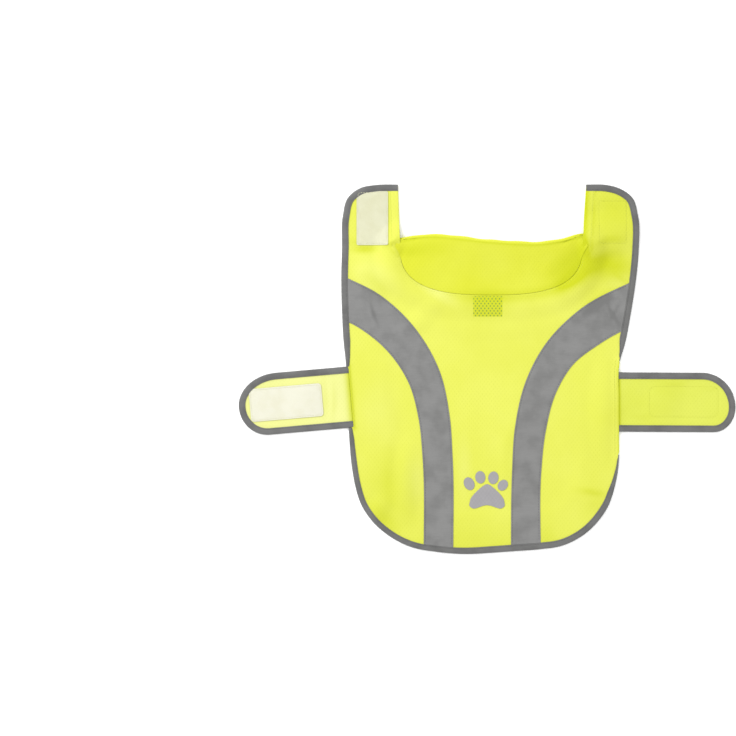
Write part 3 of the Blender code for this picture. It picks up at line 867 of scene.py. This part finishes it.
FLAP_ROWS = (inset(RIGHT_INNER_EDGE[::-1], -(HEM_WIDTH - 1.5)), inset(LEFT_INNER_EDGE, HEM_WIDTH - 1.5))
ROLL_ROW = inset(ROLLED_EDGE, 5.0)
NECK_ROW = inset(NECK_EDGE[3:-3], 2.6)
LEFT_SEAM = strap_root(LEFT_STRAP)
LEFT_SEAM_ROW = LEFT_SEAM + (2.6, 0.0)
RIGHT_FLAP_ROW = patch_row(RIGHT_FLAP_LOOP, 1.6)
LABEL_ROW = patch_row(NECK_LABEL, 1.4)
BODY_ROWS = (*FLAP_ROWS, ROLL_ROW, LEFT_SEAM_ROW, RIGHT_FLAP_ROW, LABEL_ROW)


def dents(rows, x, y):
    """How deep the rows of stitches draw the cloth down."""
    return DENT * np.exp(-(distance_to(rows, x, y) / DENT_WIDTH) ** 2)


def back_relief(x, y):
    """What hems, the rolled edge, seams and stitches add to the back cloth's upper side."""
    hem = HEM_RISE * (1 - np.tanh((distance_to(FLAP_EDGES, x, y) - HEM_WIDTH) / HEM_SOFTNESS)) / 2
    roll = ROLL_RISE * np.clip(1 - distance_to((ROLLED_EDGE,), x, y) / ROLL_WIDTH, 0.0, 1.0) ** 0.5
    seam = SEAM_RIDGE * np.exp(-(distance_to((LEFT_SEAM,), x, y) / SEAM_WIDTH) ** 2)
    return hem + roll + seam - dents(BODY_ROWS, x, y)


CREASE_SHADE = 0.3

Zone = namedtuple("Zone", "x y half_length half_width turn amount")
# Soft ovals of painted shade: in the valley across the right flap, down the right side away from the
# key light, in creases and lower corners, along the hem and at the collar's left end; one soft
# darkening round the label.
PAINTED_SHADE_ZONES = (
    Zone(98, 106, 34, 17, 40, 0.5),
    Zone(122, 120, 38, 20, 34, 0.45),
    Zone(152, 122, 36, 24, 8, 0.45),
    Zone(97, 127, 50, 22, 42, 0.6),
    Zone(150, 140, 80, 110, 0, 0.3),
    Zone(152, 196, 60, 54, 0, 0.35),
    Zone(0.9, 78, 40, 28, 0, 0.4),
    Zone(123, -147, 27, 9, -8, 0.24),
    Zone(128, -60, 50, 150, 0, 0.2),
    Zone(-148, 143, 25, 7, 4, 0.45),
    Zone(-96, 140, 26, 12, -2, 0.3),
    Zone(-76, 145, 48, 16, 0, 0.3),
    Zone(0, -215, 190, 60, 0, 0.25),
    Zone(-128, -178, 40, 18, -45, 0.3),
    Zone(126, -166, 36, 18, 42, 0.15),
    Zone(-116, -152, 46, 78, 0, 0.35),
    Zone(72, -206, 16, 26, 0, 0.2),
)
# Soft ovals of painted light, mostly on the left, where the key light falls brightest.
PAINTED_LIGHT_ZONES = (
    Zone(-136, 110, 46, 34, -40, 0.25),
    Zone(-130, -50, 40, 60, 0, 0.15),
    Zone(156, 106, 26, 14, 20, 0.15),
    Zone(-62, 96, 44, 14, -35, 0.3),
    Zone(-88, -134, 20, 50, 0, 0.2),
    Zone(-28, -120, 14, 60, 0, 0.15),
)


def zone_sum(zones, x, y):
    """The sum of soft ovals at each point."""
    total = np.zeros(np.shape(x))
    for zone in zones:
        total += zone.amount * eased(1 - np.hypot(*on_oval(zone, x, y)))
    return total


def line_mark(lines, x, y, away, width):
    """One on the line that runs `away` from the lines, fading over its width."""
    return np.exp(-((distance_to(lines, x, y) - away) / width) ** 2)


def crease_marks(x, y):
    """The shaded side of each crease, away from the upper left."""
    total = np.zeros(np.shape(x))
    for crease, path in zip(CREASES, CREASE_PATHS):
        shift = math.copysign(0.6 * crease.width, crease.rise)
        away, share = along_path(path + (shift, -shift), x, y)
        strength = CREASE_SHADE * min(1.0, abs(crease.rise))
        total += strength * swell(share) * np.exp(-(away / crease.width) ** 2)
    return total


def right_part(x):
    """Zero on the left of the neck seam, one on its right."""
    return np.clip((x + 60.0) / 50.0, 0.0, 1.0)


def collar_painted_shade(x, y):
    """Painted shade on the collar: along its top stitching and its seam, and in its folds."""
    return (zone_sum(PAINTED_SHADE_ZONES, x, y) + 0.55 * line_mark((COLLAR_CREST,), x, y, 4.4, 1.3)
            + 0.3 * right_part(x) * line_mark((NECK_EDGE,), x, y, 1.0, 5.0))


def back_painted_shade(x, y):
    """Painted shade on the back: in its folds, along the hems of the flaps and where it is sewn."""
    return (zone_sum(PAINTED_SHADE_ZONES, x, y) + crease_marks(x, y)
            + 0.2 * line_mark(FLAP_EDGES, x, y, HEM_WIDTH + 0.6, 1.2)
            + 0.45 * right_part(x) * line_mark((NECK_EDGE,), x, y, 3.0, 6.5)
            + 0.8 * line_mark((RIGHT_INNER_EDGE,), x, y, 0.0, 4.0)
            + 0.5 * line_mark((ROLLED_EDGE,), x, y, 0.0, 1.6)
            + 0.6 * line_mark((LEFT_SEAM,), x, y, 0.5, 3.0))


def strap_painted_shade(x, y):
    """Painted shade on a strap: in its creases, and a painted shadow beside the edge that it is sewn
    under.
    """
    return (crease_marks(x, y) + 0.8 * line_mark((ROLLED_EDGE,), x, y, 0.6, 1.6)
            + 0.7 * line_mark((LEFT_SEAM,), x, y, 0.0, 5.0))


def mark(bm, name, amount):
    """Keeps an amount at each point of a mesh under a name, for its finish to read."""
    layer = bm.verts.layers.float.new(name)
    for vert, value in zip(bm.verts, amount(*flat_places(bm).T)):
        vert[layer] = value


def back_outline():
    """The back cloth's edge: inside the folded tape, and stepped in at the left strap's seam."""
    depths = np.full(len(BODY_EDGE), CLOTH_INSET)
    starts = np.cumsum([0] + [len(stretch) - 1 for stretch in BODY_STRETCHES])
    left, right = (slice(starts[place] + 1, starts[place + 1]) for place in UNBOUND_STRETCHES)
    depths[left] = distance_to((LEFT_SEAM,), *BODY_EDGE[left].T) + LAYER_GAP
    depths[right] = 0.0
    return np.vstack([inset(BODY_EDGE, depths), NECK_EDGE])


def make_back():
    """Back and both chest flaps, one cut of mesh."""
    bm = flat_cut(back_outline(), pitch=3.2)
    refine(bm, BODY_ROWS, reach=2.4, rounds=2)
    thicken(bm, 0.0, CLOTH, back_relief)
    # Painted shade kept under 'deep' and painted light kept under 'pale'.
    mark(bm, "deep", back_painted_shade)
    mark(bm, "pale", lambda x, y: zone_sum(PAINTED_LIGHT_ZONES, x, y))
    return show("back_cloth", bm, BODY_MESH, "mesh_fabric", "back_panel")


def make_strap(name, strap, finish, rows):
    """A belly strap, sewn at its root."""
    bm = flat_cut(inset(strap_edge(strap), CLOTH_INSET), pitch=2.8)
    refine(bm, rows, reach=2.0, rounds=1)
    thicken(bm, 0.0, CLOTH, lambda x, y: -dents(rows, x, y))
    # Painted shade of the strap's creases and a painted shadow by its seam, kept under 'deep'.
    mark(bm, "deep", strap_painted_shade)
    return show(name + "_cloth", bm, finish, "mesh_fabric", name)


NOSE_STEPS = 9
TAPE_TOP = CLOTH + EDGE_LIFT


def tape_profile():
    """A folded tape across its width: distance in from the edge, and level above the underside."""
    angles = np.linspace(-math.pi / 2, math.pi / 2, NOSE_STEPS)
    nose = [(1.7 - 1.7 * math.cos(angle), 0.8 + 1.7 * math.sin(angle)) for angle in angles]
    top = [(3.2, TAPE_TOP + 0.1), (4.6, TAPE_TOP + 0.08), (5.6, TAPE_TOP), (6.3, TAPE_TOP - 0.24),
           (6.9, TAPE_TOP - 0.05), (7.6, TAPE_TOP - 0.08), (7.9, TAPE_TOP - 0.25), (8.0, CLOTH + 0.35),
           (7.9, CLOTH + LAYER_GAP)]
    inside = [(4.0, CLOTH + LAYER_GAP), (1.0, CLOTH), (0.75, CLOTH / 2), (1.0, 0.0), (4.0, -LAYER_GAP)]
    below = [(7.9, -LAYER_GAP), (8.0, -0.35), (7.8, -0.7), (6.9, -0.86), (6.3, -0.66), (5.6, -0.88),
             (3.4, -EDGE_LIFT)]
    return np.array(nose + top + inside + below)


def make_binding(name, edge, widths=BINDING_WIDTH):
    """Tape folded over an edge, its ripples following the cloth."""
    inwards, levels = tape_profile().T
    depths = np.outer(np.broadcast_to(widths, len(edge)) / BINDING_WIDTH, inwards)
    x, y = edge.T[..., None] + left_normals(edge).T[..., None] * depths
    rings = np.dstack([x, y, levels + lie(x, y)])
    return show(name + "_tape", lofted(rings), EDGE_TAPE, "reflective_binding", name)


TOP_LOW = CLOTH + LAYER_GAP
STRIPE_TOP = TOP_LOW + TAPE
HOOK_TOP = TOP_LOW + HOOK_TAPE

Layer = namedtuple("Layer", "pitch low high finish slot")
STRIPE_LAYER = Layer(2.2, TOP_LOW, STRIPE_TOP, STRIPE_TAPE, "reflective_tape")
PAW_LAYER = Layer(1.8, TOP_LOW, STRIPE_TOP, PAW_FILM, "reflective_film")
FLAP_HOOK_LAYER = Layer(2.0, TOP_LOW, HOOK_TOP, FLAP_HOOKS, "hook_tape")
STRAP_HOOK_LAYER = Layer(2.0, TOP_LOW, HOOK_TOP, STRAP_HOOKS, "hook_tape")
LOOP_LAYER = Layer(2.0, -EDGE_LIFT, -LAYER_GAP, LOOP_PILE, "loop_tape")
LABEL_LAYER = Layer(2.0, -0.5, -LAYER_GAP, LABEL_CLOTH, "label_weave")


def make_laid_on(name, outline, layer, rows=(), inner=BODY_INNER):
    """A piece sewn on the cloth, above or beneath it, within the binding of its edge."""
    bm = flat_cut(outline, layer.pitch, inner)
    if rows:
        refine(bm, rows, reach=1.6, rounds=1)
    thicken(bm, layer.low, layer.high, lambda x, y: -dents(rows, x, y))
    # Stripes carry painted shade on the shaded side of the creases under them.
    if layer is STRIPE_LAYER:
        mark(bm, "deep", crease_marks)
    return show(name + "_piece", bm, layer.finish, layer.slot, name)


COLLAR_LAP = 6.5
CREST_LAP = 1.6
LAP_LENGTH = 18.0
COLLAR_STEP = 1.9
LAP_STEP = 0.8
FULL_ROLL_REACH = 12.0
COLLAR_POINTS = 72
GROOVE_AWAY = 4.6
GROOVE_DEPTH = 0.4
GROOVE_WIDTH = 0.8


def collar_rings():
    """The collar's cross-sections, each from the neck seam up its slope and over its top edge.

    At both ends it laps a little way over the flap that it is sewn to. Its top edge wanders a
    little, and the stitching behind that edge draws in a groove.
    """
    seam = inset(NECK_EDGE, -0.15)
    lap = np.clip(1 - (NECK_END - seam[:, 1]) / LAP_LENGTH, 0.0, 1.0) ** 2
    seam[:, 0] += np.sign(seam[:, 0]) * COLLAR_LAP * lap
    lapped = np.clip(3 * lap, 0.0, 1.0)
    bottoms = lie(seam[:, 0], seam[:, 1]) + (CLOTH + HEM_RISE) * lapped
    steps = COLLAR_STEP - (COLLAR_STEP - LAP_STEP) * lapped
    crests = evenly(smooth_curve(COLLAR_TOP, 1.0)[::-1], len(seam))
    crests[:, 0] += np.sign(seam[:, 0]) * CREST_LAP * lap
    rings = []
    for number, ((x, y), bottom, step, (edge_x, edge_y, crest)) in enumerate(
            zip(seam, bottoms, steps, crests)):
        run = np.array((edge_x - x, edge_y - y))
        reach = float(np.linalg.norm(run))
        run /= reach
        reach += 0.35 * math.sin(number / 2.3) + 0.25 * math.sin(number / 5.1 + 1)
        start = bottom + step
        roll = min(1.0, reach / FULL_ROLL_REACH)
        profile = [(0.0, bottom + 0.86 * step), (0.5, bottom + 0.95 * step), (1.6, start)]
        profile += [(share * reach, start + (crest - start) * rise) for share, rise in COLLAR_SLOPE]
        profile += [(reach + along * roll, crest * height) for along, height in COLLAR_ROLL]
        curve = evenly(smooth_curve(profile, 0.5), COLLAR_POINTS)
        curve[:, 1] = np.maximum(curve[:, 1], 0.0)
        away = curve[:, 0] - (reach - GROOVE_AWAY * roll)
        outer = np.arange(len(curve)) < np.argmax(curve[:, 0])
        curve[:, 1] -= outer * GROOVE_DEPTH * np.exp(-(away / GROOVE_WIDTH) ** 2)
        curve = np.vstack([curve, [(0.6 * reach, 0.0), (0.25 * reach, 0.0), (0.0, bottom * 0.4)]])
        rings.append([(x + run[0] * along, y + run[1] * along, height) for along, height in curve])
    return np.array(rings)


THREAD_PITCH = 3.2
BEAD_SHARE = 0.4
BEAD_HALF_WIDTH = 0.3
BEAD_HALF_HEIGHT = 0.24


def sew(bm, row, level):
    """A row of short beads of thread, at its level above the cloth's underside."""
    flat = resample(row, THREAD_PITCH)
    places = np.column_stack([flat, level + lie(*flat.T)])
    for start, stop in zip(places, places[1:]):
        run = Vector(stop - start)
        turn = run.to_track_quat("X", "Z").to_matrix().to_4x4()
        size = Matrix.Diagonal((run.length * BEAD_SHARE, BEAD_HALF_WIDTH, BEAD_HALF_HEIGHT, 1.0))
        middle = Matrix.Translation(Vector((start + stop) / 2))
        bmesh.ops.create_icosphere(bm, subdivisions=1, radius=1.0, matrix=middle @ turn @ size)


def sewing(name, finish, levels):
    """One object of all the stitches in a thread, whose rows are listed under their levels."""
    bm = bmesh.new()
    for level, rows in levels.items():
        for row in rows:
            sew(bm, row, level)
    return show(name, bm, finish, "thread")


LEFT_STRAP_ROW = patch_row(LEFT_STRAP_HOOK, 1.8)
LEFT_FLAP_ROW = patch_row(LEFT_FLAP_HOOK, 1.8)
RIGHT_STRAP_ROW = patch_row(RIGHT_STRAP_LOOP, 1.8)


STRIPE_ROW_DEPTH = 1.9
STRIPE_ROW_LOWEST = (-172.0, -214.0)
STRIPE_ROW_RIGHT = 178.0


def stripe_rows(rows):
    """The two rows of stitches of a stripe, inside its edges and short of the binding."""
    points = smooth_curve(rows, POINT_SPACING)
    kept = []
    for side in (-1, 1):
        row = inset(points[:, :2], side * (points[:, 2] / 2 - STRIPE_ROW_DEPTH))
        clear = distance_to((BODY_EDGE,), *row.T) > BINDING_WIDTH + 0.6
        within = (row > STRIPE_ROW_LOWEST).all(axis=1) & (row[:, 0] < STRIPE_ROW_RIGHT)
        kept.append(row[clear & within])
    return kept


back = make_back()
left_strap = make_strap("left_strap", LEFT_STRAP, LEFT_MESH_PAINTED_LIGHT, (LEFT_STRAP_ROW,))
right_strap = make_strap("right_strap", RIGHT_STRAP, RIGHT_MESH_PAINTED_SHADE, (RIGHT_STRAP_ROW,))

body_bindings = [make_binding(name, BODY_STRETCHES[stretch], STRETCH_WIDTHS[stretch])
                 for name, stretch in zip(("left_side_binding", "hem_binding", "right_side_binding"),
                                          BOUND_STRETCHES)]
left_binding = make_binding("left_strap_binding", LEFT_STRAP_EDGE)
right_binding = make_binding("right_strap_binding", RIGHT_STRAP_EDGE)

LEFT_STRIPE_ROWS, RIGHT_STRIPE_ROWS = stripe_rows(LEFT_STRIPE), stripe_rows(RIGHT_STRIPE)
on_back = [make_laid_on("left_stripe", stripe_outline(LEFT_STRIPE), STRIPE_LAYER, LEFT_STRIPE_ROWS),
           make_laid_on("right_stripe", stripe_outline(RIGHT_STRIPE), STRIPE_LAYER, RIGHT_STRIPE_ROWS),
           make_laid_on("paw_pad", pad_outline(), PAW_LAYER)]
on_back += [make_laid_on(f"paw_toe_{number}", toe_outline(toe), PAW_LAYER)
            for number, toe in enumerate(TOES, start=1)]
on_back += [make_laid_on("left_flap_hook", patch_outline(LEFT_FLAP_HOOK), FLAP_HOOK_LAYER,
                         (LEFT_FLAP_ROW,)),
            make_laid_on("right_flap_loop", patch_outline(RIGHT_FLAP_LOOP), LOOP_LAYER),
            make_laid_on("neck_label", patch_outline(NECK_LABEL), LABEL_LAYER)]
left_hook = make_laid_on("left_strap_hook", patch_outline(LEFT_STRAP_HOOK), STRAP_HOOK_LAYER,
                         (LEFT_STRAP_ROW,), LEFT_STRAP_INNER)
right_loop = make_laid_on("right_strap_loop", patch_outline(RIGHT_STRAP_LOOP), LOOP_LAYER, (),
                          RIGHT_STRAP_INNER)

collar_mesh = lofted(collar_rings())
# Painted shade on the collar, kept under 'deep'.
mark(collar_mesh, "deep", collar_painted_shade)
collar = show("collar_band", collar_mesh, COLLAR_MESH, "mesh_fabric", "collar")

SEWN_AT = 0.79
body_tape_rows = [inset(BODY_STRETCHES[stretch], STRETCH_WIDTHS[stretch] * SEWN_AT)
                  for stretch in BOUND_STRETCHES]
strap_tape_rows = [inset(edge, BINDING_WIDTH * SEWN_AT) for edge in (LEFT_STRAP_EDGE, RIGHT_STRAP_EDGE)]
TAPE_THREAD = TAPE_TOP - 0.12
STRIPE_THREAD = STRIPE_TOP - 0.16
HOOK_THREAD = HOOK_TOP - 0.14
HEM_THREAD = CLOTH + HEM_RISE - 0.16
ROLL_THREAD = CLOTH + 0.55
CLOTH_THREAD = CLOTH - 0.14
THREAD_BELOW = -0.78
on_back += [
    sewing("binding_stitches", GREY_THREAD, {TAPE_THREAD: body_tape_rows}),
    sewing("binding_stitches_below", GREY_THREAD, {THREAD_BELOW: body_tape_rows}),
    sewing("stripe_stitches", GREY_THREAD, {STRIPE_THREAD: LEFT_STRIPE_ROWS + RIGHT_STRIPE_ROWS}),
    sewing("cloth_stitches", YELLOW_THREAD, {HEM_THREAD: FLAP_ROWS, ROLL_THREAD: (ROLL_ROW,),
                                             CLOTH_THREAD: (RIGHT_FLAP_ROW, NECK_ROW)}),
    sewing("flap_hook_stitches", CREAM_THREAD, {HOOK_THREAD: (LEFT_FLAP_ROW,)}),
]
left_sewn = [sewing("left_strap_stitches", GREY_THREAD,
                    {TAPE_THREAD: strap_tape_rows[:1], THREAD_BELOW: strap_tape_rows[:1]}),
             sewing("strap_hook_stitches", CREAM_THREAD, {HOOK_THREAD: (LEFT_STRAP_ROW,)})]
right_sewn = [sewing("right_strap_stitches", GREY_THREAD,
                     {TAPE_THREAD: strap_tape_rows[1:], THREAD_BELOW: strap_tape_rows[1:]}),
              sewing("strap_loop_stitches", YELLOW_THREAD,
                     {CLOTH_THREAD: (RIGHT_STRAP_ROW,), THREAD_BELOW: (RIGHT_STRAP_ROW,)})]


FLOOR_HALF = 3.0
FLOOR_DROP = 0.0002
WORLD_LIGHT = 1.3
KEY_LIGHT = 60.0
KEY_SIZE = 1.2
KEY_PLACE = (-1.9, 1.7, 1.9)
CAMERA_HEIGHT = 4.0
VIEW_END = 20.0
PHOTO_WIDTH = 0.8832
PHOTO_CENTRE = (-0.1428, 0.0012)


def make_studio():
    """Pale floor, even white light with a soft key from the upper left, and the camera above."""
    bm = bmesh.new()
    bmesh.ops.create_grid(bm, x_segments=1, y_segments=1, size=FLOOR_HALF)
    bmesh.ops.translate(bm, vec=(0.0, 0.0, -FLOOR_DROP), verts=bm.verts[:])
    paint = Finish("floor_paint", 0.9)
    paint_noise = paint.noise(300.0)
    floor = placed_mesh("floor", bm, paint.done(shade(253, 253, 253), paint_noise, 0.00002))

    scene = bpy.context.scene
    scene.world = bpy.data.worlds.new("studio")
    scene.world.use_nodes = True
    light = scene.world.node_tree.nodes["Background"].inputs
    light["Color"].default_value = (1.0, 1.0, 1.0, 1.0)
    light["Strength"].default_value = WORLD_LIGHT

    key = bpy.data.lights.new("key", "AREA")
    key.energy = KEY_LIGHT
    key.size = KEY_SIZE
    key_light = placed("key", key)
    key_light.location = KEY_PLACE
    key_light.rotation_euler = (-key_light.location).to_track_quat("-Z", "Y").to_euler()

    lens = bpy.data.cameras.new("camera")
    lens.lens = lens.sensor_width * CAMERA_HEIGHT / PHOTO_WIDTH
    lens.clip_end = VIEW_END
    scene.camera = placed("camera", lens)
    scene.camera.location = (*PHOTO_CENTRE, CAMERA_HEIGHT)
    scene.view_settings.view_transform = "Standard"


make_studio()
